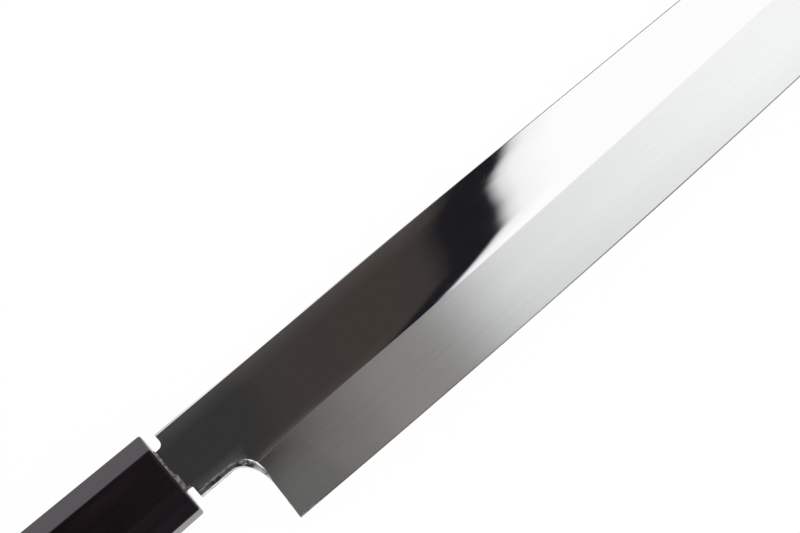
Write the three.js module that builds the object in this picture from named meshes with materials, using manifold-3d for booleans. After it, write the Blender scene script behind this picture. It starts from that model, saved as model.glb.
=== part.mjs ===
// Fuguhiki: a long, thin slicing knife, ground on one face only, with an octagonal handle.
// The knife lies on its hollow back: +X runs from butt to tip, +Y from edge to spine, +Z up.
// Lengths are in millimetres. Until the last lines, X = 0 is the handle's front face
// and Y = Z = 0 is the handle's axis.
import * as THREE from 'three';
import { mergeVertices } from 'three/addons/utils/BufferGeometryUtils.js';
import Module from 'manifold-3d';

// Blade outline
const edgeLength = 300;           // heel to tip
const heelReach = 15.1;           // handle front to the heel's point
const spineRise = 8.85;           // handle axis up to the spine at the shoulder
const heelDepth = 25.25;          // handle axis down to the edge at the heel
const straightReach = 27.5;       // handle front to where the edge starts to curve
const spineFall = 4.5;            // drop of the spine at the tip
const spinePower = 1.43;          // how late the spine drops
const edgeLift = 13.9;            // rise of the edge's long belly at the tip
const bellyPower = 2;             // how late the belly rises
const sweepLength = 66;           // last stretch, where the edge sweeps up to the tip
const sweepPower = 2.3;
const tipLand = 0.8;              // height of the blunted point

// Blade section
const shoulderThickness = 3.4;
const tipThickness = 1.0;
const flatLean = 0.008;           // thickness lost for each millimetre below the spine
const bevelWidth = 15.7;          // ground face at the heel, from the ridge to the edge
const bevelGrowth = 0.0045;       // wider by this for each millimetre towards the tip
const slimBevelShare = 0.72;      // of the height, where the blade is too slim for that width
const bevelBlend = 10;            // how sharply the one width gives way to the other
const ridgeDip = 1.05;            // the ridge runs down by this much at the heel
const ridgeDipLength = 21;
const ridgeEase = 0.15;           // the ridge line is eased by this much to each side
const rollWidth = 7;              // polished flat rolls over towards the ridge
const rollDrop = 0.25;
const spineRollWidth = 5;         // and very slightly towards the spine
const spineRollDrop = 0.06;
const slimRollShare = 0.45;       // of the flat, each, where the flat is too slim for both rolls
const shoulderSpineBreak = 0.63;  // chamfer on the spine at the shoulder, fading to the next
const spineBreak = 0.2;
const spineBreakFade = 66;
const arrisRound = 0.25;          // share of a chamfer's width over which it rounds into the face
const chamferSwell = 0.12;        // a chamfer swells above a plane cut by this share of its depth
const backBreak = 0.2;
const edgeLand = 0.1;             // thickness of the very edge
const microBevelWidth = 0.25;
const microBevelRise = 0.12;
const hollowDepth = 0.35;         // scoop of the back
const hollowStart = 8.5;          // handle front to where the scoop starts
const hollowFade = 34;            // length over which it gets its depth
const edgeRim = 1.4;              // flat rims left along the scoop
const spineRim = 1.8;
const trimHeight = 14;            // below this blade height the fine breaks and rims shrink with it

// Shoulder, neck and finger notch
const shoulderGap = 2.5;          // handle front to the shoulder above the tang
const lowerShoulderGap = 1.75;    // and to the shoulder below it
const upperFillet = 1.3;
const lowerFillet = 0.55;
const neckDepth = 7.97;           // handle axis down to the neck's underside
const notchReach = 5.2;           // the notch's elliptical corner
const notchDrop = 8.2;
const heelLean = 0.4;             // heel line leans back by this much
const neckChamfer = 1.27;         // widths of the chamfer on the bevelled face, round neck, notch and heel
const notchChamfer = 1.7;
const heelChamfer = 0.12;
const neckChamferDepth = 0.7;
const notchChamferDepth = 0.95;
const heelChamferDepth = 0.12;
const chamferGather = 1.5;        // how closely the wide chamfer keeps to the notch's corner
const chamferSkew = 1.15;         // how far it leans to the neck
const chamferLift = 0.02;         // the chamfer's cutter stands this much above the face

// Tang
const tangLength = 88.5;          // behind the handle's front face
const tangRise = 5.65;
const tangDepth = 4.65;
const tangEndRise = 2.8;
const tangEndDepth = 2.0;
const tangEndThickness = 2.6;

// Handle
const handleLength = 145.5;
const ferruleLength = 36.5;
const frontHeight = 20.9;
const frontThickness = 18.4;
const buttHeight = 26;
const broadFlat = 10.4;           // width of the two broad flats at the front
const narrowFlat = 6;             // width of the top and bottom flats at the front
const arrisRadius = 0.5;          // rounding between two flats
const frontRound = 0.6;
const buttRound = 1.4;
const ferruleWall = 6;            // closed front of the ferrule
const dowelDiameter = 14;
const dowelOverrun = 7;           // dowel past the end of the tang
const dowelClearance = 0.2;
const slotClearance = 0.25;
const sealProud = 0.35;           // bead round the tang, in front of the ferrule, at the tang's upper side
const sealLowerProud = 0.95;      // and at its lower side, where it is thicker
const sealSpread = 0.4;
const sealLowerSpread = 0.35;
const sealClearance = 0.1;

// Finishes
const polishedSteel = { color: '#c9cbcc', roughness: 0.18, metalness: 1 };
const blackHorn = { color: '#19161a', roughness: 0.25, metalness: 0 };
const ebony = { color: '#231c1c', roughness: 0.35, metalness: 0 };
const magnolia = { color: '#cdb68c', roughness: 0.7, metalness: 0 };
const resin = { color: '#8f8a83', roughness: 0.5, metalness: 0 };

// Fineness of the curved faces
const bladeStations = 44;
const tipStations = 12;
const hollowSteps = 7;
const rollSteps = 6;
const spineRollSteps = 3;
const chamferSteps = 7;
const notchSteps = 20;
const filletSteps = 8;
const roundSteps = 5;
const arrisSteps = 3;
const boreSides = 40;
const cutMargin = 4;              // how far a cutting shape reaches past what it cuts

// Places worked out from the sizes above
const tipX = heelReach + edgeLength;
const backZ = -shoulderThickness / 2;
const flatTaper = (shoulderThickness - tipThickness - flatLean * spineFall) / (tipX - shoulderGap);
const tangTaper = (shoulderThickness - tangEndThickness) / (tangLength + shoulderGap);
const sweepLift = spineRise - spineFall - tipLand + heelDepth - edgeLift;
const dowelEnd = -tangLength - dowelOverrun;

const wasm = await Module();
wasm.setup();

// Closed bodies

function solidOf(geometry) {
  const bare = new THREE.BufferGeometry();
  bare.setAttribute('position', geometry.getAttribute('position'));
  bare.setIndex(geometry.getIndex());
  const merged = mergeVertices(bare);
  return new wasm.Manifold(new wasm.Mesh({
    numProp: 3,
    vertProperties: new Float32Array(merged.getAttribute('position').array),
    triVerts: new Uint32Array(merged.getIndex().array),
  }));
}

function geometryOf(solid) {
  const { vertProperties, triVerts } = solid.getMesh();
  const geometry = new THREE.BufferGeometry();
  geometry.setAttribute('position', new THREE.BufferAttribute(vertProperties, 3));
  geometry.setIndex(new THREE.BufferAttribute(triVerts, 1));
  geometry.computeVertexNormals();
  return geometry;
}

const ringAtX = (x, points) => points.map(([y, z]) => new THREE.Vector3(x, y, z));

// A chamfer as shares of its width and depth, from a sharp outer arris to the face that it rounds into.
function softChamfer() {
  const corners = [[0, 0], [1 / 3, 1 / 3 + chamferSwell], [1 - arrisRound, 1], [1, 1]];
  const curve = new THREE.CubicBezierCurve(...corners.map(([across, up]) => new THREE.Vector2(across, up)));
  return curve.getPoints(chamferSteps);
}

// Skin over a row of rings of points, with a fan closing each end.
function loft(rings) {
  const count = rings[0].length;
  const last = rings.length - 1;
  const points = rings.flat();
  const triangles = [];
  const endCentre = (ring) => {
    const sum = ring.reduce((total, point) => total.add(point), new THREE.Vector3());
    return points.push(sum.divideScalar(count)) - 1;
  };
  const startCentre = endCentre(rings[0]);
  const finishCentre = endCentre(rings[last]);
  for (let step = 0; step < count; step += 1) {
    const next = (step + 1) % count;
    for (let ring = 0; ring < last; ring += 1) {
      const here = ring * count;
      const beyond = here + count;
      triangles.push(here + step, here + next, beyond + step);
      triangles.push(here + next, beyond + next, beyond + step);
    }
    triangles.push(startCentre, next, step);
    triangles.push(finishCentre, last * count + step, last * count + next);
  }
  const geometry = new THREE.BufferGeometry().setFromPoints(points);
  geometry.setIndex(triangles);
  return solidOf(geometry);
}

function prism(shape, low, high) {
  const options = { depth: high - low, bevelEnabled: false, curveSegments: filletSteps };
  return solidOf(new THREE.ExtrudeGeometry(shape, options).translate(0, 0, low));
}

function roundBar(diameter, startX, endX) {
  const bar = new THREE.CylinderGeometry(diameter / 2, diameter / 2, endX - startX, boreSides);
  return solidOf(bar.rotateZ(Math.PI / 2).translate((startX + endX) / 2, 0, 0));
}

// Blade curves

const shareFrom = (start, x) => Math.max(0, (x - start) / (tipX - start));
const spineY = (x) => spineRise - spineFall * shareFrom(shoulderGap, x) ** spinePower;

function edgeY(x) {
  const belly = edgeLift * shareFrom(straightReach, x) ** bellyPower;
  return belly + sweepLift * shareFrom(tipX - sweepLength, x) ** sweepPower - heelDepth;
}

function ridgeY(x) {
  const slim = slimBevelShare * (spineY(x) - edgeY(x));
  const full = bevelWidth + bevelGrowth * Math.max(0, x - heelReach);
  const width = (full ** -bevelBlend + slim ** -bevelBlend) ** (-1 / bevelBlend);
  const dipShare = THREE.MathUtils.clamp((heelReach + ridgeDipLength - x) / ridgeDipLength, 0, 1);
  return edgeY(x) + width - ridgeDip * dipShare ** 2;
}

// The polished flat is one plane on the blade; behind the shoulder it thins with the tang.
function flatZ(x, y) {
  const loss = x > shoulderGap ? flatTaper * (x - shoulderGap) : tangTaper * (shoulderGap - x);
  return backZ + shoulderThickness - loss - flatLean * (spineRise - y);
}

const trimShare = (x) => Math.min(1, (spineY(x) - edgeY(x)) / trimHeight);

function spineChamfer(x) {
  const fade = Math.max(0, 1 - Math.max(0, x - shoulderGap) / spineBreakFade);
  return trimShare(x) * (spineBreak + (shoulderSpineBreak - spineBreak) * fade);
}

// Widths of the flat's two rolls, and their drops at spine and ridge.
function flatRolls(x) {
  const slim = slimRollShare * (spineY(x) - spineChamfer(x) - ridgeY(x));
  const toSpine = Math.min(spineRollWidth, slim);
  const toRidge = Math.min(rollWidth, slim);
  return {
    toSpine,
    toRidge,
    spineDrop: spineRollDrop * (toSpine / spineRollWidth) ** 2,
    ridgeDrop: rollDrop * (toRidge / rollWidth) ** 2,
  };
}

// Upper end of the fine edge bevel, as Y and Z.
function bevelFoot(x) {
  const trim = trimShare(x);
  return [edgeY(x) + trim * microBevelWidth, backZ + edgeLand + trim * microBevelRise];
}

// The bevelled face between its two chamfers: flat, rolls and ground bevel.
function faceZ(x, y) {
  const { toSpine, toRidge, spineDrop, ridgeDrop } = flatRolls(x);
  const ridge = ridgeY(x);
  if (y < ridge) {
    const [footY, footZ] = bevelFoot(x);
    return THREE.MathUtils.mapLinear(y, footY, ridge, footZ, flatZ(x, ridge) - ridgeDrop);
  }
  const spineShare = Math.max(0, (y - spineY(x) + spineChamfer(x) + toSpine) / toSpine);
  const ridgeShare = Math.max(0, (ridge + toRidge - y) / toRidge);
  return flatZ(x, y) - spineDrop * spineShare ** 2 - ridgeDrop * ridgeShare ** 2;
}

// One cross-section of the blade, anticlockwise as seen from the tip.
function bladeSection(x) {
  const top = spineY(x);
  const bottom = edgeY(x);
  const trim = trimShare(x);
  const points = [[bottom, backZ]];

  const depth = trim * hollowDepth * THREE.MathUtils.smoothstep(x, hollowStart, hollowStart + hollowFade);
  for (let step = 0; step <= hollowSteps; step += 1) {
    const share = step / hollowSteps;
    const y = THREE.MathUtils.lerp(bottom + trim * edgeRim, top - trim * spineRim, share);
    points.push([y, backZ + 4 * depth * share * (1 - share)]);
  }
  points.push([top - trim * backBreak, backZ]);
  points.push([top, backZ + trim * backBreak]);

  const chamfer = spineChamfer(x);
  const flatTop = top - chamfer;
  const ridge = ridgeY(x);
  const ease = trim * ridgeEase;
  const { toSpine, toRidge } = flatRolls(x);
  for (const { x: across, y: up } of softChamfer()) {
    points.push([top - chamfer * across, faceZ(x, flatTop) - chamfer * (1 - up)]);
  }
  const stops = [];
  for (let step = 1; step <= spineRollSteps; step += 1) {
    stops.push(flatTop - toSpine * step / spineRollSteps);
  }
  for (let step = 0; step <= rollSteps; step += 1) {
    stops.push(THREE.MathUtils.lerp(ridge + toRidge, ridge + ease, step / rollSteps));
  }
  stops.push(ridge - ease);
  points.push(...stops.map((y) => [y, faceZ(x, y)]));
  points.push(bevelFoot(x));
  points.push([bottom, backZ + edgeLand]);
  return ringAtX(x, points);
}

// Blade: a ground slab as long as tang and blade, with the shoulder, neck and notch cut out

function groundSlab() {
  const places = [-tangLength, 0, shoulderGap, hollowStart];
  const tipStart = tipX - sweepLength;
  for (let station = 0; station < bladeStations; station += 1) {
    places.push(THREE.MathUtils.lerp(heelReach, tipStart, station / bladeStations));
  }
  for (let station = 0; station <= tipStations; station += 1) {
    places.push(THREE.MathUtils.lerp(tipStart, tipX, station / tipStations));
  }
  return loft(places.map(bladeSection));
}

function upperNotch() {
  const clear = spineRise + cutMargin;
  const shape = new THREE.Shape();
  shape.moveTo(shoulderGap, clear);
  shape.lineTo(-tangLength - cutMargin, clear);
  shape.lineTo(-tangLength - cutMargin, tangEndRise);
  shape.lineTo(-tangLength, tangEndRise);
  shape.lineTo(shoulderGap - upperFillet, tangRise);
  const centreX = shoulderGap - upperFillet;
  shape.absarc(centreX, tangRise + upperFillet, upperFillet, -Math.PI / 2, 0, false);
  return prism(shape, backZ - cutMargin, -backZ + cutMargin);
}

function lowerNotch() {
  const clear = -heelDepth - cutMargin;
  const shape = new THREE.Shape();
  shape.moveTo(-tangLength - cutMargin, clear);
  shape.lineTo(lowerShoulderGap, clear);
  const centreX = lowerShoulderGap - lowerFillet;
  shape.absarc(centreX, -tangDepth - lowerFillet, lowerFillet, 0, Math.PI / 2, false);
  shape.lineTo(-tangLength, -tangEndDepth);
  shape.lineTo(-tangLength - cutMargin, -tangEndDepth);
  return prism(shape, backZ - cutMargin, -backZ + cutMargin);
}

// Places round the finger notch, from heel to neck, each with the way into the steel and the chamfer's size.
function notchPlaces() {
  const cornerX = heelReach + heelLean;
  const centre = new THREE.Vector2(cornerX - notchReach, -neckDepth - notchDrop);
  const below = -heelDepth - cutMargin;
  const behind = shoulderGap - cutMargin;
  const heelX = cornerX - heelLean * (centre.y - below) / (centre.y + heelDepth);
  const ahead = new THREE.Vector2(1, 0);
  const upward = new THREE.Vector2(0, 1);
  const places = [{ edge: new THREE.Vector2(heelX, below), into: ahead, wide: 0, share: 0 }];
  for (let step = 0; step <= notchSteps; step += 1) {
    const share = step / notchSteps;
    const angle = share * Math.PI / 2;
    const edge = new THREE.Vector2(notchReach * Math.cos(angle), notchDrop * Math.sin(angle)).add(centre);
    const into = new THREE.Vector2(Math.cos(angle) / notchReach, Math.sin(angle) / notchDrop).normalize();
    places.push({ edge, into, wide: Math.sin(share ** chamferSkew * Math.PI) ** chamferGather, share });
  }
  places.push({ edge: new THREE.Vector2(behind, -neckDepth), into: upward, wide: 0, share: 1 });
  places.push({ edge: new THREE.Vector2(behind, below), into: upward, wide: 0, share: 1 });
  return places;
}

// The notch's cutter: straight walls up to the chamfer, which follows the bevelled face.
function fingerNotch() {
  const ring = (push, height) => notchPlaces().map(({ edge, into, wide, share }) => {
    const narrow = THREE.MathUtils.lerp(heelChamfer, neckChamfer, share);
    const shallow = THREE.MathUtils.lerp(heelChamferDepth, neckChamferDepth, share);
    const width = THREE.MathUtils.lerp(narrow, notchChamfer, wide);
    const depth = THREE.MathUtils.lerp(shallow, notchChamferDepth, wide);
    const { x, y } = edge.clone().addScaledVector(into, push * width);
    const inner = edge.clone().addScaledVector(into, width);
    return new THREE.Vector3(x, y, faceZ(Math.max(inner.x, shoulderGap), inner.y) + height(depth));
  });
  const rings = [ring(0, () => -shoulderThickness - cutMargin)];
  for (const { x: across, y: up } of softChamfer()) {
    rings.push(ring(across, (depth) => chamferLift - depth * (1 - up)));
  }
  rings.push(ring(1, () => cutMargin));
  return loft(rings);
}

function bladeSolid() {
  return groundSlab().subtract(upperNotch()).subtract(lowerNotch()).subtract(fingerNotch());
}

// Room for the tang, wider than it by a clearance, between two places along X.
function tangRoom(clearance, startX, endX) {
  const section = (x) => {
    const share = THREE.MathUtils.clamp(-x / tangLength, 0, 1);
    const high = THREE.MathUtils.lerp(tangRise, tangEndRise, share) + clearance;
    const low = -THREE.MathUtils.lerp(tangDepth, tangEndDepth, share) - clearance;
    const under = backZ - clearance;
    const over = flatZ(Math.min(x, shoulderGap), high) + clearance;
    return ringAtX(x, [[low, under], [high, under], [high, over], [low, over]]);
  };
  return loft([section(startX), section(endX)]);
}

// Handle: an eight-sided bar that grows evenly from front to butt, so that all its flats are plane

const handleGrowth = (x) => 1 + (buttHeight / frontHeight - 1) * (-x / handleLength);

// Eight-sided ring with rounded arrises, drawn in by an inset.
function octagon(x, inset) {
  const growth = handleGrowth(x);
  const halfHeight = growth * frontHeight / 2;
  const halfThickness = growth * frontThickness / 2;
  const quarter = [[halfHeight, growth * narrowFlat / 2], [growth * broadFlat / 2, halfThickness]];
  const half = [...quarter, ...quarter.map(([y, z]) => [-y, z]).reverse()];
  const corners = [...half, ...half.map(([y, z]) => [-y, -z])].map(([y, z]) => new THREE.Vector2(y, z));
  const shrink = new THREE.Vector2(1 - inset / halfHeight, 1 - inset / halfThickness);
  const points = corners.flatMap((corner, index) => {
    const back = corners[(index + 7) % 8].clone().sub(corner).normalize();
    const on = corners[(index + 1) % 8].clone().sub(corner).normalize();
    const reach = arrisRadius / Math.tan(back.angleTo(on) / 2);
    const curve = new THREE.QuadraticBezierCurve(
      corner.clone().addScaledVector(back, reach), corner, corner.clone().addScaledVector(on, reach));
    return curve.getPoints(arrisSteps);
  });
  return ringAtX(x, points.map((point) => point.multiply(shrink).toArray()));
}

// Rings of a rounded end; outward is +1 at the front and -1 at the butt.
function roundedEnd(endX, radius, outward) {
  const rings = [];
  for (let step = 0; step <= roundSteps; step += 1) {
    const angle = (step / roundSteps) * Math.PI / 2;
    const back = radius * (1 - Math.cos(angle));
    rings.push(octagon(endX - outward * back, radius * (1 - Math.sin(angle))));
  }
  return rings;
}

function ferruleSolid() {
  const front = roundedEnd(0, frontRound, 1).reverse();
  const body = loft([octagon(-ferruleLength, 0), ...front]);
  const bore = roundBar(dowelDiameter + 2 * dowelClearance, -ferruleLength - cutMargin, -ferruleWall);
  const slot = tangRoom(slotClearance, -ferruleWall - cutMargin, cutMargin);
  return body.subtract(bore).subtract(slot);
}

function handleBodySolid() {
  const butt = roundedEnd(-handleLength, buttRound, -1);
  const body = loft([...butt, octagon(-ferruleLength, 0)]);
  const boreEnd = dowelEnd - dowelClearance;
  return body.subtract(roundBar(dowelDiameter + 2 * dowelClearance, boreEnd, cutMargin));
}

function coreDowelSolid() {
  const bar = roundBar(dowelDiameter, dowelEnd, -ferruleWall - dowelClearance);
  return bar.subtract(tangRoom(slotClearance, -tangLength - slotClearance, cutMargin));
}

// Bead that closes the slot round the tang, rounded over from the ferrule's face to the tang.
function tangSealSolid() {
  const high = tangRise + sealClearance;
  const low = -tangDepth - sealClearance;
  const halfThickness = shoulderThickness / 2 + sealClearance;
  const rings = [];
  for (let ring = 0; ring < roundSteps; ring += 1) {
    const rise = (ring / roundSteps) * Math.PI / 2;
    const points = [];
    for (const [y, z, turn] of [[high, 1, 0], [low, 1, 1], [low, -1, 2], [high, -1, 3]]) {
      const spread = (y === high ? sealSpread : sealLowerSpread) * Math.cos(rise);
      const proud = (y === high ? sealProud : sealLowerProud) * Math.sin(rise);
      for (let step = 0; step <= roundSteps; step += 1) {
        const angle = (turn + step / roundSteps) * Math.PI / 2;
        const across = new THREE.Vector2(Math.cos(angle), Math.sin(angle)).multiplyScalar(spread);
        points.push(new THREE.Vector3(proud, y + across.x, z * halfThickness + across.y));
      }
    }
    rings.push(points);
  }
  return loft(rings).subtract(tangRoom(sealClearance, -cutMargin, shoulderGap));
}

// The knife

function piece(name, solid, finish) {
  const mesh = new THREE.Mesh(geometryOf(solid), new THREE.MeshStandardMaterial(finish));
  mesh.name = name;
  return mesh;
}

const knife = new THREE.Group();
knife.name = 'fuguhiki';
knife.add(piece('blade', bladeSolid(), polishedSteel));
knife.add(piece('ferrule', ferruleSolid(), blackHorn));
knife.add(piece('handle_body', handleBodySolid(), ebony));
knife.add(piece('core_dowel', coreDowelSolid(), magnolia));
knife.add(piece('tang_seal', tangSealSolid(), resin));

// Move the origin to the middle of the knife's box, on the surface that it lies on.
const widest = handleGrowth(buttRound - handleLength) / 2;
const middleX = (tipX - handleLength) / 2;
const middleY = (widest * frontHeight - heelDepth) / 2;
knife.position.set(-middleX, -middleY, widest * frontThickness);

export default knife;
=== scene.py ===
import math

import bmesh
import bpy
from mathutils import Matrix, Vector, noise


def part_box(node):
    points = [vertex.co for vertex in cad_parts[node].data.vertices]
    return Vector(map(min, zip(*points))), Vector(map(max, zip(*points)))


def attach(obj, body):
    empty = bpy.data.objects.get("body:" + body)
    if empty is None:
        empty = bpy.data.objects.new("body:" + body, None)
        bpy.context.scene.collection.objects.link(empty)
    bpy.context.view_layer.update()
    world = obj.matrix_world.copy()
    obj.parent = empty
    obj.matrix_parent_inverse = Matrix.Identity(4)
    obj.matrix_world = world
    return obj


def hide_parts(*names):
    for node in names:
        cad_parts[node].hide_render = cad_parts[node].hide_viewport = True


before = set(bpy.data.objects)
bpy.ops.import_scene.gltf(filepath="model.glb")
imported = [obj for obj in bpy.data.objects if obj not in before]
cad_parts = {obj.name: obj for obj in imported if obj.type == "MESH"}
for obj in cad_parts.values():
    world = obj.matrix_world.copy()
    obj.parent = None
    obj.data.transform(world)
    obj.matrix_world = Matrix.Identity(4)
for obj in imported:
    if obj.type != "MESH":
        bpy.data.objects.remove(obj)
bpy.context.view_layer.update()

mm = 0.001
white = (1, 1, 1, 1)
black = (0, 0, 0, 1)
noiseLow, noiseHigh = 0.3, 0.7  # most values of a noise texture lie between these
scene = bpy.context.scene
scene.view_settings.view_transform = "Standard"
ferruleLow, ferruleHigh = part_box("ferrule")
handleFront = Vector((
    ferruleHigh.x, (ferruleLow.y + ferruleHigh.y) / 2, (ferruleLow.z + ferruleHigh.z) / 2))
print("frame loaded, handle front at", [round(v, 4) for v in handleFront])


def linear(hexColour):  # sRGB hex to the linear colour that Blender's sockets take
    channels = [int(hexColour[i:i + 2], 16) / 255 for i in (1, 3, 5)]
    return [c / 12.92 if c <= 0.04045 else ((c + 0.055) / 1.055) ** 2.4 for c in channels] + [1.0]


def addNode(tree, kind, inputs=None, stops=None, **settings):  # stops: a ramp's places and hex colours
    node = tree.nodes.new(kind)
    for name, value in settings.items():
        setattr(node, name, value)
    for name, value in (inputs or {}).items():
        if isinstance(value, bpy.types.NodeSocket):
            tree.links.new(value, node.inputs[name])
        else:
            node.inputs[name].default_value = value
    for i, (place, colour) in enumerate(stops or []):
        points = node.color_ramp.elements
        point = points[i] if i < len(points) else points.new(place)
        point.position = place
        point.color = linear(colour)
    return node


def spread(tree, value, reach, stops):  # colours along a stretch of a value, at places given in that value
    low, high = reach
    share = addNode(tree, "ShaderNodeMapRange", {"Value": value, "From Min": low, "From Max": high})
    places = [((at - low) / (high - low), colour) for at, colour in stops]
    return addNode(tree, "ShaderNodeValToRGB", {0: share.outputs[0]}, stops=places).outputs[0]


def setIn(tree, under, value, reach, colour, blend="MIX"):  # a colour that sets in along a value
    start, end = reach
    share = addNode(tree, "ShaderNodeMapRange", {"Value": value, "From Min": start, "From Max": end})
    return addNode(tree, "ShaderNodeMix", {0: share.outputs[0], 6: under, 7: colour},
                   data_type="RGBA", blend_type=blend).outputs[2]


def newMaterial(name):  # an empty material, ready for its nodes
    material = bpy.data.materials.new(name)
    material.use_nodes = True
    tree = material.node_tree
    tree.nodes.clear()
    return material, tree


def inMillimetres(tree):  # places on the knife, counted in millimetres from the handle's front
    place = addNode(tree, "ShaderNodeTexCoord").outputs["Object"]
    return addNode(tree, "ShaderNodeMapping", {
        "Vector": place, "Location": handleFront / -mm, "Scale": (1 / mm,) * 3}).outputs[0]


def patternScale(along, across):  # for a pattern this large along the knife and across it, in millimetres
    return (1 / along, 1 / across, 1 / across)


# Camera, from the photograph: almost straight above, leaning to the edge's side, with a long lens
photoCamera = {
    "aim": Vector((66.23, 2.03, 1.6)) * mm,  # from the handle's front, on its axis
    "lean": math.radians(12.5),  # to the edge's side
    "tilt": math.radians(1.6),  # the knife lies with its tip lower than its butt
    "turn": math.radians(40.28),  # how far the handle's axis climbs in the picture
    "distance": 1290.6 * mm,
    "lens": 270.0,
    "sensor": 36.0,
}


def makeCamera(c):
    back = Vector((-math.sin(c["tilt"]), -math.sin(c["lean"]), 0))
    back.z = math.sqrt(1 - back.length_squared)
    level = back.cross(Vector((1, 0, 0))).normalized()
    ahead = level.cross(back)
    right = ahead * math.cos(c["turn"]) - level * math.sin(c["turn"])
    up = ahead * math.sin(c["turn"]) + level * math.cos(c["turn"])
    data = bpy.data.cameras.new("photoCamera")
    data.lens = c["lens"]
    data.sensor_width = c["sensor"]
    camera = bpy.data.objects.new("photoCamera", data)
    scene.collection.objects.link(camera)
    turned = Matrix((right, up, back)).transposed().to_4x4()
    camera.matrix_world = Matrix.Translation(handleFront + c["aim"] + back * c["distance"]) @ turned
    scene.camera = camera


makeCamera(photoCamera)
print("camera set")


# Floor: white paper that keeps a faint shadow
floorLook = {
    "half": 6.0,  # metres
    "paper": "#FAFAFA",
    "glow": 0.97,  # share of its own light, as the camera sees it
    "mirroredGlow": 0.95,  # and as polished pieces see it
}


def makeFloor(c):
    bm = bmesh.new()
    bmesh.ops.create_grid(bm, x_segments=1, y_segments=1, size=c["half"])
    mesh = bpy.data.meshes.new("floor")
    bm.to_mesh(mesh)
    bm.free()
    floor = bpy.data.objects.new("floor", mesh)
    scene.collection.objects.link(floor)
    material, tree = newMaterial("whitePaper")
    path = addNode(tree, "ShaderNodeLightPath")
    direct = addNode(tree, "ShaderNodeMath", {0: path.outputs["Is Camera Ray"], 1: c["glow"]},
                     operation="MULTIPLY")
    share = addNode(tree, "ShaderNodeMath", {
        0: path.outputs["Is Glossy Ray"], 1: c["mirroredGlow"], 2: direct.outputs[0]},
        operation="MULTIPLY_ADD")
    paper = addNode(tree, "ShaderNodeBsdfDiffuse", {"Color": linear(c["paper"])})
    glow = addNode(tree, "ShaderNodeEmission", {"Color": white, "Strength": 1.0})
    mixed = addNode(tree, "ShaderNodeMixShader", {
        0: share.outputs[0], 1: paper.outputs[0], 2: glow.outputs[0]})
    addNode(tree, "ShaderNodeOutputMaterial", {"Surface": mixed.outputs[0]})
    mesh.materials.append(material)


makeFloor(floorLook)
print("floor laid")


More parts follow.
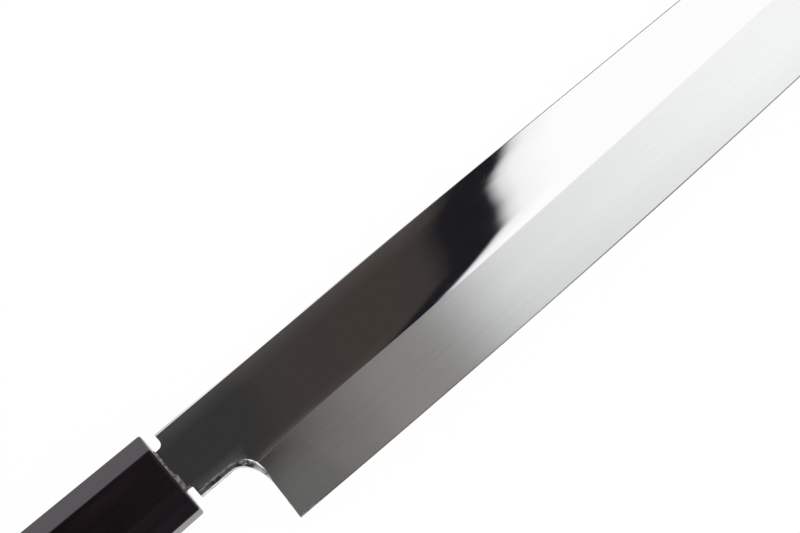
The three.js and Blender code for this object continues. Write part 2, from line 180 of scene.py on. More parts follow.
# Studio that the steel mirrors, its places given as the X and Y of a direction
studio = {
    "borderX": 0.0626,  # overhead, where a dark ceiling gives way to a white softbox over the tip
    "borderBendY": 0.12,  # below this the border bends to the handle
    "borderBend": (1.7, 1.75),  # how far, and its power
    "borderBendEnd": 0.067,  # and so far below, the bend ends
    "borderLeanY": 0.2,  # above this the border leans to the tip
    "borderSlope": 0.157,
    "borderSpan": (-0.08, 0.04),
    "border": [  # along X, before and past the border
        (-0.045, "#3B3734"), (-0.025, "#3D3734"), (-0.017, "#3A3634"), (-0.0115, "#1C1B1F"),
        (-0.0015, "#19181D"), (0.0012, "#D8D8D8"), (0.004, "#F0F0F0"), (0.012, "#FAFAFA"),
    ],
    "heelReach": (0.0235, 0.0160),  # over the heel the ceiling is neutral, along X, which leans
    "heelLean": 0.045,
    "heelCeiling": "#323232",
    "rimsSpan": (0.0, 0.3),
    "rims": [  # added to the ceiling along Y, so that it is lighter towards ridge and spine
        (0.050, "#2E302F"), (0.0595, "#1C1D1C"), (0.071, "#121212"), (0.088, "#080808"),
        (0.107, "#000000"), (0.215, "#000000"), (0.25, "#2B2A29"),
    ],
    "rimsReach": (-0.012, -0.022),  # along X, before the border
    "neckGlowX": (0.006, 0.001),  # over the neck the ceiling is lighter
    "neckGlowY": (0.175, 0.115),
    "neckGlow": "#404040",
    "sideSpan": (0.0, 0.12),
    "side": [  # along X, a grey on the edge's side that brightens to the tip, seen by the ground bevel
        (0.006, "#535554"), (0.0138, "#645F5C"), (0.0215, "#8B8682"), (0.029, "#878581"),
        (0.037, "#686765"), (0.0448, "#B9B9BA"), (0.0525, "#E2E4E4"), (0.0587, "#E0E2E1"),
        (0.0665, "#E1E3E2"), (0.080, "#E8EAE9"), (0.0975, "#EEF0EF"), (0.107, "#F3F4F4"),
    ],
    "sideEndX": (0.03, 0.06),  # over this stretch of X
    "sideEndY": (-0.06, 0.03),  # the side's upper end moves over this stretch of Y
    "sideSoft": (-0.012, 0.012),
    "edgeWallReach": (-0.34, -0.28),  # along Y, from the walls to what is overhead
    "spineWallReach": (0.31, 0.27),
    "wallSpan": (-1.0, 1.0),
    "walls": [  # along Y, with a lighter strip on the edge's side and white on the spine's
        (-1.0, "#5C5B5A"), (-0.76, "#585756"), (-0.70, "#8E8E8E"), (-0.38, "#8E8E8E"),
        (-0.32, "#525252"), (0.30, "#3A3836"), (0.50, "#3A3836"), (0.62, "#DADADA"), (1.0, "#E6E6E6"),
    ],
    "endWallReach": (0.25, 0.45),  # along X, a grey wall past the tip
    "endWall": [(-0.6, "#6A6A6A"), (0.2, "#909090"), (0.9, "#C8C8C8")],  # along Y
    "behindSpan": (-1.0, 0.0),
    "behind": [  # along X, a softbox behind the handle
        (-1.0, "#B0B0B0"), (-0.90, "#B0B0B0"), (-0.84, "#808080"), (-0.77, "#989898"),
        (-0.70, "#C8C8C8"), (-0.60, "#FFFFFF"),
    ],
    "behindWidthSpan": (-0.5, 0.5),
    "behindWidth": [  # along Y, which leans along X
        (-0.40, "#696969"), (-0.35, "#6F6F6F"), (-0.29, "#9E9E9E"), (-0.24, "#CECECE"),
        (-0.17, "#FFFFFF"), (0.20, "#FFFFFF"), (0.45, "#606060"),
    ],
    "behindLean": 0.12,
    "behindLevel": 1.5,
    "behindReach": (-0.03, -0.11),  # along X, which leans back to both sides
    "behindReachLean": 0.9,
    "spotWay": (-0.634, -0.580, 0.512),  # a small lamp beside that softbox
    "spotReach": (0.9990, 0.9996),  # cosines of its soft edge
    "mirrorLevel": 1.16,  # steel gives back a little less light than falls on it
    "skyLevel": 0.95,  # even light for all that isn't mirrored
}


def overheadColours(tree, leanX, leanY, c):  # ceiling, softbox and the grey on the edge's side
    below = addNode(tree, "ShaderNodeMath", {0: c["borderBendY"], 1: leanY},
                    operation="SUBTRACT", use_clamp=True)
    below = addNode(tree, "ShaderNodeMath", {0: below.outputs[0], 1: c["borderBendEnd"]},
                    operation="MINIMUM")
    amount, power = c["borderBend"]
    bend = addNode(tree, "ShaderNodeMath", {0: below.outputs[0], 1: power}, operation="POWER")
    bent = addNode(tree, "ShaderNodeMath", {0: bend.outputs[0], 1: amount, 2: leanX},
                   operation="MULTIPLY_ADD")
    above = addNode(tree, "ShaderNodeMath", {0: leanY, 1: c["borderLeanY"]},
                    operation="SUBTRACT", use_clamp=True)
    leant = addNode(tree, "ShaderNodeMath", {0: above.outputs[0], 1: -c["borderSlope"], 2: bent.outputs[0]},
                    operation="MULTIPLY_ADD")
    past = addNode(tree, "ShaderNodeMath", {0: leant.outputs[0], 1: c["borderX"]},
                   operation="SUBTRACT").outputs[0]

    ceiling = spread(tree, past, c["borderSpan"], c["border"])
    toHeel = addNode(tree, "ShaderNodeMath", {0: leanY, 1: c["heelLean"], 2: leanX},
                     operation="MULTIPLY_ADD")
    ceiling = setIn(tree, ceiling, toHeel.outputs[0], c["heelReach"], linear(c["heelCeiling"]))
    rims = spread(tree, leanY, c["rimsSpan"], c["rims"])
    ceiling = setIn(tree, ceiling, past, c["rimsReach"], rims, "ADD")
    glow = setIn(tree, black, leanX, c["neckGlowX"], linear(c["neckGlow"]))
    ceiling = setIn(tree, ceiling, leanY, c["neckGlowY"], glow, "ADD")

    side = spread(tree, leanX, c["sideSpan"], c["side"])
    fromX, toX = c["sideEndX"]
    fromY, toY = c["sideEndY"]
    sideEnd = addNode(tree, "ShaderNodeMapRange", {
        "Value": leanX, "From Min": fromX, "From Max": toX, "To Min": fromY, "To Max": toY})
    aboveSide = addNode(tree, "ShaderNodeMath", {0: leanY, 1: sideEnd.outputs[0]}, operation="SUBTRACT")
    return setIn(tree, side, aboveSide.outputs[0], c["sideSoft"], ceiling)


def behindColours(tree, leanX, leanY, c):  # softbox behind the handle
    leant = addNode(tree, "ShaderNodeMath", {0: leanX, 1: -c["behindLean"], 2: leanY},
                    operation="MULTIPLY_ADD")
    lengthwise = spread(tree, leanX, c["behindSpan"], c["behind"])
    sideways = spread(tree, leant.outputs[0], c["behindWidthSpan"], c["behindWidth"])
    softbox = addNode(tree, "ShaderNodeVectorMath", {0: lengthwise, 1: sideways}, operation="MULTIPLY")
    return addNode(tree, "ShaderNodeVectorMath", {0: softbox.outputs[0], "Scale": c["behindLevel"]},
                   operation="SCALE").outputs[0]


def makeStudio(c):
    world = bpy.data.worlds.new("studio")
    scene.world = world
    world.use_nodes = True
    tree = world.node_tree
    tree.nodes.clear()
    way = addNode(tree, "ShaderNodeTexCoord").outputs["Generated"]
    lean = addNode(tree, "ShaderNodeSeparateXYZ", {0: way})
    leanX = lean.outputs["X"]
    leanY = lean.outputs["Y"]

    walls = spread(tree, leanY, c["wallSpan"], c["walls"])
    room = setIn(tree, walls, leanY, c["spineWallReach"], overheadColours(tree, leanX, leanY, c))
    room = setIn(tree, walls, leanY, c["edgeWallReach"], room)
    room = setIn(tree, room, leanX, c["endWallReach"], spread(tree, leanY, c["wallSpan"], c["endWall"]))
    aside = addNode(tree, "ShaderNodeMath", {0: leanY}, operation="ABSOLUTE")
    toBehind = addNode(tree, "ShaderNodeMath", {0: aside.outputs[0], 1: c["behindReachLean"], 2: leanX},
                       operation="MULTIPLY_ADD")
    room = setIn(tree, room, toBehind.outputs[0], c["behindReach"], behindColours(tree, leanX, leanY, c))
    toSpot = addNode(tree, "ShaderNodeVectorMath", {0: way, 1: c["spotWay"]}, operation="DOT_PRODUCT")
    room = setIn(tree, room, toSpot.outputs["Value"], c["spotReach"], white)

    path = addNode(tree, "ShaderNodeLightPath")
    mirrored = addNode(tree, "ShaderNodeBackground", {"Color": room, "Strength": c["mirrorLevel"]})
    sky = addNode(tree, "ShaderNodeBackground", {"Color": white, "Strength": c["skyLevel"]})
    backdrop = addNode(tree, "ShaderNodeBackground", {"Color": white, "Strength": 1.0})
    lit = addNode(tree, "ShaderNodeMixShader", {
        0: path.outputs["Is Glossy Ray"], 1: sky.outputs[0], 2: mirrored.outputs[0]})
    shown = addNode(tree, "ShaderNodeMixShader", {
        0: path.outputs["Is Camera Ray"], 1: lit.outputs[0], 2: backdrop.outputs[0]})
    addNode(tree, "ShaderNodeOutputWorld", {"Surface": shown.outputs[0]})


# Lamp: a wide disc above the knife, for soft shading; it shows in no reflection
lampLook = {
    "size": 1.2,  # metres
    "place": Vector((0.3, -0.25, 1.2)),
    "power": 4.0,
}


def makeLamp(c):
    lamp = bpy.data.lights.new("overheadLamp", "AREA")
    lamp.shape = "DISK"
    lamp.size = c["size"]
    lamp.energy = c["power"]
    holder = bpy.data.objects.new("overheadLamp", lamp)
    holder.location = c["place"]
    holder.rotation_mode = "QUATERNION"
    holder.rotation_quaternion = c["place"].to_track_quat("Z", "Y")
    holder.visible_glossy = False
    holder.visible_camera = False
    scene.collection.objects.link(holder)


makeStudio(studio)
makeLamp(lampLook)
print("studio lit")


# Each piece starts as a cleaned copy of its CAD solid
meshCare = {
    "weld": 0.01 * mm,
    "flatAngle": math.radians(0.02),  # faces that turn less than this become one
    "pairAngle": math.radians(1.0),  # triangles that turn less than this become four-sided faces
    "pairShape": math.radians(60),  # whose corners may differ by this
}


def copyOfNode(nodeName):  # the CAD solid as one welded bmesh
    bm = bmesh.new()
    bm.from_mesh(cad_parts[nodeName].data)
    bmesh.ops.remove_doubles(bm, verts=bm.verts, dist=meshCare["weld"])
    bmesh.ops.dissolve_limit(bm, angle_limit=meshCare["flatAngle"], verts=bm.verts, edges=bm.edges,
                             delimit={"NORMAL"})
    bmesh.ops.join_triangles(bm, faces=bm.faces, angle_face_threshold=meshCare["pairAngle"],
                             angle_shape_threshold=meshCare["pairShape"])
    return bm


def shadeSmooth(bm, sharpFrom):  # smooth, with edges from this angle on kept sharp
    for face in bm.faces:
        face.smooth = True
    for edge in bm.edges:
        edge.smooth = edge.calc_face_angle(math.pi) < sharpFrom


def finishPiece(bm, pieceName, nodeName, materials, flatsWeight):
    mesh = bpy.data.meshes.new(pieceName)
    bm.to_mesh(mesh)
    bm.free()
    for material in materials:
        mesh.materials.append(material)
    piece = bpy.data.objects.new(pieceName, mesh)
    scene.collection.objects.link(piece)
    flats = piece.modifiers.new("trueFlats", "WEIGHTED_NORMAL")
    flats.weight = flatsWeight
    flats.keep_sharp = True
    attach(piece, "root")
    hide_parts(nodeName)
    print(pieceName, "made,", len(mesh.polygons), "faces")
    return piece


# Steel, mirror-polished on the flat: a clear mirror, whose faint smears only soften what it shows
mirrorLook = {"smearPitch": 8.333}


def mirrorSteel(c):
    material, tree = newMaterial("mirrorPolishedSteel")
    smears = addNode(tree, "ShaderNodeTexNoise", {
        "Vector": inMillimetres(tree), "Scale": 1 / c["smearPitch"], "Detail": 3.0, "Roughness": 0.6})
    rough = addNode(tree, "ShaderNodeMapRange", {
        "Value": smears.outputs[0], "From Min": noiseLow, "From Max": noiseHigh,
        "To Min": 0.012, "To Max": 0.02})
    steel = addNode(tree, "ShaderNodeBsdfPrincipled", {
        "Base Color": linear("#F2F1F1"), "Metallic": 1.0, "Roughness": rough.outputs[0]})
    addNode(tree, "ShaderNodeOutputMaterial", {"Surface": steel.outputs[0]})
    return material


# Steel ground to a satin: soft bands of light across the hairlines, which run along the blade
satinLook = {
    "lineTurn": math.radians(5),
    "linePitch": 0.35,  # real hairlines are about 0.03 mm apart; drawn as coarse as the picture shows
    "lineLength": 30.0,
    "lineFade": (65.0, 95.0, 0.45),  # over this stretch of X the lines lose this share of their contrast
    "bandPitch": 2.5,
    "bandLength": 60.0,
    "paintedShadeAt": Vector((16.5, -10.0, 0.0)),  # painted shade: at the notch the bevel's tone is darker, standing in for a darker reflection there
    "paintedShadeReach": Vector((24.0, 10.0, 10.0)),
    "notchPaintedShade": "#757575",
    "edgeBand": (-16.0, -25.0),  # towards the edge, the band where the tone carries painted light and shade
    "edgePaintedLightAndShade": (35.0, 75.0, 1.1, 0.92),  # painted light and shade: from one X to another it goes from lighter to darker
}


def satinSteel(c):
    material, tree = newMaterial("satinGroundSteel")
    place = inMillimetres(tree)
    way = addNode(tree, "ShaderNodeSeparateXYZ", {0: place})
    lines = addNode(tree, "ShaderNodeMapping", {
        "Vector": place, "Rotation": (0, 0, -c["lineTurn"]),
        "Scale": patternScale(c["lineLength"], c["linePitch"])})
    hairlines = addNode(tree, "ShaderNodeTexNoise", {
        "Vector": lines.outputs[0], "Scale": 1.0, "Detail": 2.0})
    broad = addNode(tree, "ShaderNodeMapping", {
        "Vector": place, "Scale": patternScale(c["bandLength"], c["bandPitch"])})
    bands = addNode(tree, "ShaderNodeTexNoise", {"Vector": broad.outputs[0], "Scale": 1.0, "Detail": 3.0})

    tone = addNode(tree, "ShaderNodeValToRGB", {0: hairlines.outputs[0]}, stops=[
        (noiseLow, "#EBEBEB"), (noiseHigh, "#F0F0F0")])
    fromX, toX, share = c["lineFade"]
    faded = addNode(tree, "ShaderNodeMapRange", {
        "Value": way.outputs["X"], "From Min": fromX, "From Max": toX, "To Min": 0.0, "To Max": share})
    tone = addNode(tree, "ShaderNodeMix", {0: faded.outputs[0], 6: tone.outputs[0], 7: linear("#EEEEEE")},
                   data_type="RGBA")
    # painted shade: the bevel's tone darkens around the notch
    fromNotch = addNode(tree, "ShaderNodeMapping", {
        "Vector": place, "Location": c["paintedShadeAt"], "Scale": c["paintedShadeReach"]}, vector_type="TEXTURE")
    notchPaintedShade = addNode(tree, "ShaderNodeTexGradient", {"Vector": fromNotch.outputs[0]},
                     gradient_type="QUADRATIC_SPHERE")
    tone = addNode(tree, "ShaderNodeMix", {
        0: notchPaintedShade.outputs["Fac"], 6: tone.outputs[2], 7: linear(c["notchPaintedShade"])}, data_type="RGBA")
    # painted light and shade: near the edge the tone goes from lighter to darker along X
    fromX, toX, fromTone, toTone = c["edgePaintedLightAndShade"]
    edgeLightAndShade = addNode(tree, "ShaderNodeMapRange", {
        "Value": way.outputs["X"], "From Min": fromX, "From Max": toX,
        "To Min": fromTone, "To Max": toTone})
    tone = setIn(tree, tone.outputs[2], way.outputs["Y"], c["edgeBand"], edgeLightAndShade.outputs[0], "MULTIPLY")

    rough = addNode(tree, "ShaderNodeMapRange", {
        "Value": bands.outputs[0], "From Min": noiseLow, "From Max": noiseHigh,
        "To Min": 0.094, "To Max": 0.104})
    across = addNode(tree, "ShaderNodeTangent", direction_type="UV_MAP", uv_map="acrossBlade")
    bump = addNode(tree, "ShaderNodeBump", {
        "Height": hairlines.outputs[0], "Strength": 0.03, "Distance": 0.02 * mm})
    steel = addNode(tree, "ShaderNodeBsdfPrincipled", {
        "Base Color": tone, "Metallic": 1.0, "Roughness": rough.outputs[0], "Anisotropic": 0.9,
        "Tangent": across.outputs[0], "Normal": bump.outputs[0]})
    addNode(tree, "ShaderNodeOutputMaterial", {"Surface": steel.outputs[0]})
    return material


# Steel polished by hand on spine, neck and notch: a rippled mirror, stained at the notch, with painted
# shade that darkens it at the notch and towards the tip
polishedLook = {
    "ripplePitch": 1.4286,
    "lean": 1.5,  # millimetres along X for each along Y
    "span": (0.0, 130.0),
    "paintedLightTones": [  # painted light and shade: darker at the notch and towards the tip; along X, which leans
        (10.4, "#CAC9C8"), (18.2, "#C8C8C8"), (24.7, "#E0E0E0"), (33.8, "#F5F5F5"), (52.0, "#FFFFFF"),
        (75.4, "#909090"), (96.2, "#303030"), (114.4, "#303030"), (130.0, "#484848"),
    ],
    "stainReach": (0.0, -5.0),  # along Y
    "stains": [(0.40, "#A8A8A8"), (0.54, "#FFFFFF")],
}


def handPolishedSteel(c):
    material, tree = newMaterial("handPolishedSteel")
    place = inMillimetres(tree)
    way = addNode(tree, "ShaderNodeSeparateXYZ", {0: place})
    ripples = addNode(tree, "ShaderNodeTexNoise", {
        "Vector": place, "Scale": 1 / c["ripplePitch"], "Detail": 2.0})
    rough = addNode(tree, "ShaderNodeMapRange", {
        "Value": ripples.outputs[0], "From Min": noiseLow, "From Max": noiseHigh,
        "To Min": 0.06, "To Max": 0.12})
    bump = addNode(tree, "ShaderNodeBump", {
        "Height": ripples.outputs[0], "Strength": 0.45, "Distance": 0.1 * mm})
    leant = addNode(tree, "ShaderNodeMath", {0: way.outputs["Y"], 1: c["lean"], 2: way.outputs["X"]},
                    operation="MULTIPLY_ADD")
    # painted light and shade: the tone along X makes the reflection darker at the notch and towards the tip
    tone = spread(tree, leant.outputs[0], c["span"], c["paintedLightTones"])
    stains = addNode(tree, "ShaderNodeValToRGB", {0: ripples.outputs[0]}, stops=c["stains"])
    tone = setIn(tree, tone, way.outputs["Y"], c["stainReach"], stains.outputs[0], "MULTIPLY")
    steel = addNode(tree, "ShaderNodeBsdfPrincipled", {
        "Base Color": tone, "Metallic": 1.0, "Roughness": rough.outputs[0], "Normal": bump.outputs[0]})
    addNode(tree, "ShaderNodeOutputMaterial", {"Surface": steel.outputs[0]})
    return material


# Steel honed on a fine stone along the edge: a thin line, with painted shade that makes it grey at the heel
# and lighter further out
honedLook = {
    "span": (20.0, 150.0),
    "paintedLightTones": [  # painted light and shade: grey at the heel, lighter further out; along X
        (20.0, "#919191"), (46.0, "#B5B5B5"), (59.0, "#B5B5B5"), (79.8, "#F0F0F0"), (117.5, "#CCCCCC"),
        (150.0, "#F5F5F5"),
    ],
}


def honedSteel(c):
    material, tree = newMaterial("honedSteel")
    way = addNode(tree, "ShaderNodeSeparateXYZ", {0: inMillimetres(tree)})
    # painted light and shade: the honed line's tone along X
    tone = spread(tree, way.outputs["X"], c["span"], c["paintedLightTones"])
    steel = addNode(tree, "ShaderNodeBsdfPrincipled", {
        "Base Color": tone, "Metallic": 1.0, "Roughness": 0.1})
    addNode(tree, "ShaderNodeOutputMaterial", {"Surface": steel.outputs[0]})
    return material


# Steel of the hollow back, ground across the blade: a soft grey sheen with short lines from spine to edge
hollowLook = {"scratchPitch": 0.4545, "scratchLength": 16.667}


def hollowGroundSteel(c):
    material, tree = newMaterial("hollowGroundSteel")
    lines = addNode(tree, "ShaderNodeMapping", {
        "Vector": inMillimetres(tree), "Scale": patternScale(c["scratchPitch"], c["scratchLength"])})
    scratches = addNode(tree, "ShaderNodeTexNoise", {
        "Vector": lines.outputs[0], "Scale": 1.0, "Detail": 3.0})
    tone = addNode(tree, "ShaderNodeValToRGB", {0: scratches.outputs[0]}, stops=[
        (noiseLow, "#D2D2D1"), (noiseHigh, "#EAEAE9")])
    bump = addNode(tree, "ShaderNodeBump", {
        "Height": scratches.outputs[0], "Strength": 0.1, "Distance": 0.03 * mm})
    steel = addNode(tree, "ShaderNodeBsdfPrincipled", {
        "Base Color": tone.outputs[0], "Metallic": 1.0, "Roughness": 0.26, "Normal": bump.outputs[0]})
    addNode(tree, "ShaderNodeOutputMaterial", {"Surface": steel.outputs[0]})
    return material


# Steel of the tang as it left the forge: dull dark scale with browner patches
forgedLook = {"patchPitch": 2.0}


def forgedSteel(c):
    material, tree = newMaterial("forgedScaleSteel")
    scale = addNode(tree, "ShaderNodeTexNoise", {
        "Vector": inMillimetres(tree), "Scale": 1 / c["patchPitch"], "Detail": 5.0, "Roughness": 0.65})
    tone = addNode(tree, "ShaderNodeValToRGB", {0: scale.outputs[0]}, stops=[
        (0.35, "#3A3735"), (0.55, "#5A5652"), (0.7, "#6B5546")])
    bump = addNode(tree, "ShaderNodeBump", {
        "Height": scale.outputs[0], "Strength": 0.4, "Distance": 0.2 * mm})
    steel = addNode(tree, "ShaderNodeBsdfPrincipled", {
        "Base Color": tone.outputs[0], "Metallic": 0.8, "Roughness": 0.55, "Normal": bump.outputs[0]})
    addNode(tree, "ShaderNodeOutputMaterial", {"Surface": steel.outputs[0]})
    return material


# Blade: each face gets its finish from its place and slope
mirror, satin, polished, honed, hollow, forged = range(6)  # in the order of the blade's materials
bladeLook = {
    "sharpFrom": math.radians(22),
    "flatSlope": (0.158, 0.0004),  # steepest at the handle's front, and its loss for each millimetre
    "leastUp": 0.01,  # slopes are taken over no less than this
    "edgeHeight": 0.25,  # fine edge bevel, up to this height above the back
    "rimHeight": 0.004,  # flat rims of the back, up to this height
    "backFacing": -0.9,  # the back's normals point down by more than this
    "upFacing": 0.95,  # and those of flat and bevel up by more than this
    "scaleStart": -1.0,  # forge scale starts inside the handle's slot
    "scaleUnder": 1.9,  # and reaches this far out under the tang
    "underFacing": -0.5,  # where normals point to the edge's side by more than this
    "notchEnd": 20.0,  # along X
    "neckEnd": 12.0,
    "chamferStart": -6.0,  # along Y, the chamfer of notch and neck
    "chamferSlope": 0.08,
    "notchFacing": -0.005,  # in the notch its normals point to the handle by more than this
    "tipStart": 300.0,  # from here on the bevel turns up to the point
    "flatsWeight": 50,
    "bevelLean": (30.0, 0.007),  # up to this place the bevel's normals lean no more than this to the tip
}


def finishOf(face, backZ, c):
    middle = face.calc_center_median()
    place = (middle - handleFront) / mm
    height = (middle.z - backZ) / mm
    normal = face.normal
    slope = -normal.y / max(normal.z, c["leastUp"])
    fineEdge = height < c["edgeHeight"]
    scaleEnd = c["scaleUnder"] if normal.y < c["underFacing"] else c["scaleStart"]
    if place.x < scaleEnd:
        return forged
    if normal.z < c["backFacing"]:
        return hollow if height > c["rimHeight"] else mirror
    if fineEdge and slope > 0 and place.x > c["notchEnd"]:
        return honed
    inNotch = normal.x < c["notchFacing"] and place.x < c["notchEnd"]
    onNeck = slope > c["chamferSlope"] and place.x < c["neckEnd"]
    chamfered = place.y < c["chamferStart"] and (inNotch or onNeck)
    tipBevel = place.x > c["tipStart"] and slope > 0 and height > c["edgeHeight"]
    if (normal.z < c["upFacing"] or fineEdge or chamfered) and not tipBevel:
        return polished
    steepest, loss = c["flatSlope"]
    return mirror if slope < steepest - loss * place.x else satin


def evenBevel(piece, reach, lean):  # over the notch the bevel is shaded as one plane with what follows
    mesh = piece.data
    shaded = piece.evaluated_get(bpy.context.evaluated_depsgraph_get()).data
    normals = [corner.vector.copy() for corner in shaded.corner_normals]
    for face in mesh.polygons:
        for i in face.loop_indices:
            x = (mesh.vertices[mesh.loops[i].vertex_index].co.x - handleFront.x) / mm
            if face.material_index == satin and x < reach:
                normals[i].x = min(normals[i].x, lean)
                normals[i].normalize()
    piece.modifiers.clear()
    mesh.normals_split_custom_set(normals)


def makeBlade(c):
    bm = copyOfNode("blade")
    scaleFront = handleFront + Vector((c["scaleStart"] * mm, 0, 0))
    bmesh.ops.bisect_plane(bm, geom=bm.verts[:] + bm.edges[:] + bm.faces[:], dist=meshCare["weld"],
                           plane_co=scaleFront, plane_no=(1, 0, 0))
    backZ = min(v.co.z for v in bm.verts)
    across = bm.loops.layers.uv.new("acrossBlade")
    for face in bm.faces:
        face.material_index = finishOf(face, backZ, c)
        for loop in face.loops:
            loop[across].uv = (loop.vert.co.y, loop.vert.co.x)
    shadeSmooth(bm, c["sharpFrom"])
    for edge in bm.edges:  # chamfers keep their shading off the wide faces
        finishes = {face.material_index for face in edge.link_faces}
        edge.smooth = edge.smooth and (len(finishes) == 1 or not finishes & {polished, honed})
    materials = [
        mirrorSteel(mirrorLook), satinSteel(satinLook), handPolishedSteel(polishedLook),
        honedSteel(honedLook), hollowGroundSteel(hollowLook), forgedSteel(forgedLook)]
    piece = finishPiece(bm, "polished_blade", "blade", materials, c["flatsWeight"])
    evenBevel(piece, *c["bevelLean"])


makeBlade(bladeLook)


# Buffalo horn, polished: almost black, with faint reddish streaks along it and a slightly rosy sheen
hornLook = {"streakLength": 33.333, "streakPitch": 2.857}


def blackHorn(c):
    material, tree = newMaterial("polishedBuffaloHorn")
    along = addNode(tree, "ShaderNodeMapping", {
        "Vector": inMillimetres(tree), "Scale": patternScale(c["streakLength"], c["streakPitch"])})
    streaks = addNode(tree, "ShaderNodeTexNoise", {"Vector": along.outputs[0], "Scale": 1.0, "Detail": 4.0})
    tone = addNode(tree, "ShaderNodeValToRGB", {0: streaks.outputs[0]}, stops=[
        (noiseLow, "#060505"), (0.5, "#070606"), (noiseHigh, "#0E0708")])
    rough = addNode(tree, "ShaderNodeMapRange", {
        "Value": streaks.outputs[0], "From Min": noiseLow, "From Max": noiseHigh,
        "To Min": 0.12, "To Max": 0.2})
    horn = addNode(tree, "ShaderNodeBsdfPrincipled", {
        "Base Color": tone.outputs[0], "Roughness": rough.outputs[0], "IOR": 1.47,
        "Specular Tint": linear("#FFE3FC")})
    addNode(tree, "ShaderNodeOutputMaterial", {"Surface": horn.outputs[0]})
    return material


# Ebony, oiled: deep brown-black with straight grain and fine pores that stay dull
ebonyLook = {"grainLength": 50.0, "grainPitch": 1.111, "poreLength": 4.0, "porePitch": 0.2}


def ebonyWood(c):
    material, tree = newMaterial("oiledEbony")
    place = inMillimetres(tree)
    along = addNode(tree, "ShaderNodeMapping", {
        "Vector": place, "Scale": patternScale(c["grainLength"], c["grainPitch"])})
    grain = addNode(tree, "ShaderNodeTexNoise", {
        "Vector": along.outputs[0], "Scale": 1.0, "Detail": 5.0, "Roughness": 0.6, "Distortion": 0.3})
    fine = addNode(tree, "ShaderNodeMapping", {
        "Vector": place, "Scale": patternScale(c["poreLength"], c["porePitch"])})
    pores = addNode(tree, "ShaderNodeTexNoise", {"Vector": fine.outputs[0], "Scale": 1.0, "Detail": 1.0})
    tone = addNode(tree, "ShaderNodeValToRGB", {0: grain.outputs[0]}, stops=[
        (noiseLow, "#151011"), (0.5, "#211818"), (noiseHigh, "#33231F")])
    filled = addNode(tree, "ShaderNodeMapRange", {
        "Value": pores.outputs[0], "From Min": 0.3, "From Max": 0.4, "To Min": 0.0, "To Max": 1.0})
    bump = addNode(tree, "ShaderNodeBump", {
        "Height": filled.outputs[0], "Strength": 0.3, "Distance": 0.05 * mm})
    rough = addNode(tree, "ShaderNodeMapRange", {"Value": filled.outputs[0], "To Min": 0.5, "To Max": 0.24})
    wood = addNode(tree, "ShaderNodeBsdfPrincipled", {
        "Base Color": tone.outputs[0], "Roughness": rough.outputs[0], "IOR": 1.5,
        "Normal": bump.outputs[0]})
    addNode(tree, "ShaderNodeOutputMaterial", {"Surface": wood.outputs[0]})
    return material


# Magnolia, sawn: pale cream with soft straight grain
magnoliaLook = {"grainLength": 33.333, "grainPitch": 1.25}


def magnoliaWood(c):
    material, tree = newMaterial("sawnMagnolia")
    along = addNode(tree, "ShaderNodeMapping", {
        "Vector": inMillimetres(tree), "Scale": patternScale(c["grainLength"], c["grainPitch"])})
    grain = addNode(tree, "ShaderNodeTexNoise", {"Vector": along.outputs[0], "Scale": 1.0, "Detail": 4.0})
    tone = addNode(tree, "ShaderNodeValToRGB", {0: grain.outputs[0]}, stops=[
        (noiseLow, "#BFA77D"), (noiseHigh, "#D9C7A0")])
    bump = addNode(tree, "ShaderNodeBump", {
        "Height": grain.outputs[0], "Strength": 0.2, "Distance": 0.1 * mm})
    wood = addNode(tree, "ShaderNodeBsdfPrincipled", {
        "Base Color": tone.outputs[0], "Roughness": 0.65, "IOR": 1.5, "Normal": bump.outputs[0]})
    addNode(tree, "ShaderNodeOutputMaterial", {"Surface": wood.outputs[0]})
    return material


# Handle: ferrule, grip and dowel keep the shapes of their solids
handleLook = {"sharpFrom": math.radians(24), "flatsWeight": 100}


def makeHandlePiece(c, pieceName, nodeName, material):
    bm = copyOfNode(nodeName)
    shadeSmooth(bm, c["sharpFrom"])
    finishPiece(bm, pieceName, nodeName, [material], c["flatsWeight"])


makeHandlePiece(handleLook, "horn_ferrule", "ferrule", blackHorn(hornLook))
makeHandlePiece(handleLook, "ebony_grip", "handle_body", ebonyWood(ebonyLook))
makeHandlePiece(handleLook, "magnolia_dowel", "core_dowel", magnoliaWood(magnoliaLook))


# Epoxy resin, hand-laid: mottled from dark to pale grey, half matt
resinLook = {"mottlePitch": 0.769}


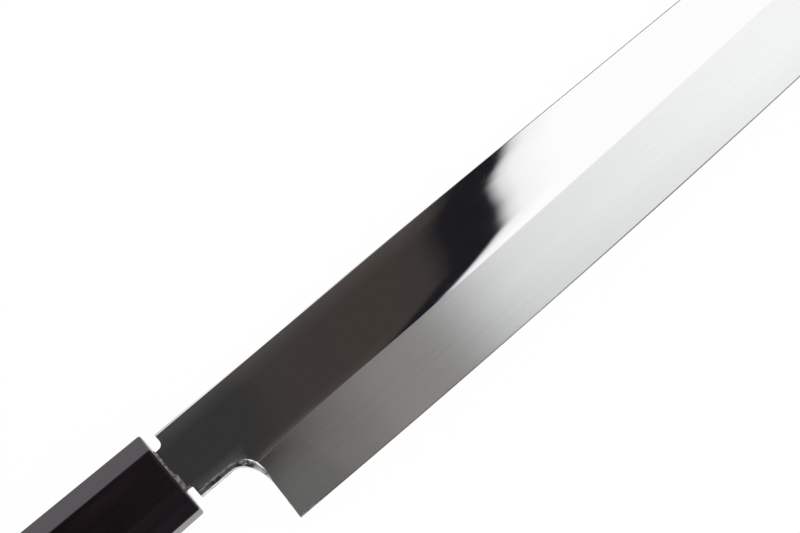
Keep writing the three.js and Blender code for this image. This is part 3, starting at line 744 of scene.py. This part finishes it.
def paleResin(c):
    material, tree = newMaterial("greyEpoxyResin")
    mottle = addNode(tree, "ShaderNodeTexNoise", {
        "Vector": inMillimetres(tree), "Scale": 1 / c["mottlePitch"], "Detail": 4.0, "Roughness": 0.6})
    tone = addNode(tree, "ShaderNodeValToRGB", {0: mottle.outputs[0]}, stops=[
        (0.35, "#3C393A"), (0.5, "#6A6668"), (0.65, "#A09B9E")])
    bump = addNode(tree, "ShaderNodeBump", {
        "Height": mottle.outputs[0], "Strength": 0.5, "Distance": 0.2 * mm})
    resin = addNode(tree, "ShaderNodeBsdfPrincipled", {
        "Base Color": tone.outputs[0], "Roughness": 0.4, "IOR": 1.5, "Normal": bump.outputs[0]})
    addNode(tree, "ShaderNodeOutputMaterial", {"Surface": resin.outputs[0]})
    return material


# Bead of resin: a thin line along the upper half of the tang, and a lumpy smear at its lower half
beadLook = {
    "slices": 60,
    "sliceDist": 0.0025 * mm,
    "proud": [  # how far it stands out, along Y
        (6.2, 0.1), (5.4, 0.36), (3.0, 0.36), (1.6, 0.25), (0.6, 0.25), (-0.6, 0.42), (-1.3, 0.8),
        (-4.4, 0.78), (-4.7, 0.1), (-5.0, 0.05),
    ],
    "lumps": 0.35,  # share of that, either way
    "lumpPitch": 0.9,
    "flatsWeight": 50,
}


def proudAt(y, stops):  # straight lines between the stops, which run from high to low
    for (highY, highProud), (lowY, lowProud) in zip(stops, stops[1:]):
        if y > lowY:
            share = min((highY - y) / (highY - lowY), 1.0)
            return highProud + (lowProud - highProud) * max(share, 0.0)
    return stops[-1][1]


def makeBead(c):
    bm = copyOfNode("tang_seal")
    low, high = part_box("tang_seal")
    for i in range(1, c["slices"]):
        across = low + (high - low) * i / c["slices"]
        bmesh.ops.bisect_plane(bm, geom=bm.verts[:] + bm.edges[:] + bm.faces[:], dist=c["sliceDist"],
                               plane_co=across, plane_no=(0, 1, 0))
    reach = {}
    for vert in bm.verts:
        slot = round((vert.co.y - low.y) / (high.y - low.y) * c["slices"])
        reach[slot] = max(reach.get(slot, 0.0), vert.co.x - handleFront.x)
    for vert in bm.verts:
        place = (vert.co - handleFront) / mm
        slot = round((vert.co.y - low.y) / (high.y - low.y) * c["slices"])
        wanted = proudAt(place.y, c["proud"]) * (1 + c["lumps"] * noise.noise(place / c["lumpPitch"]))
        if place.x > 0 and reach[slot] > meshCare["weld"]:
            vert.co.x = handleFront.x + (vert.co.x - handleFront.x) * wanted * mm / reach[slot]
    for face in bm.faces:
        face.smooth = True
    finishPiece(bm, "resin_bead", "tang_seal", [paleResin(resinLook)], c["flatsWeight"])


makeBead(beadLook)
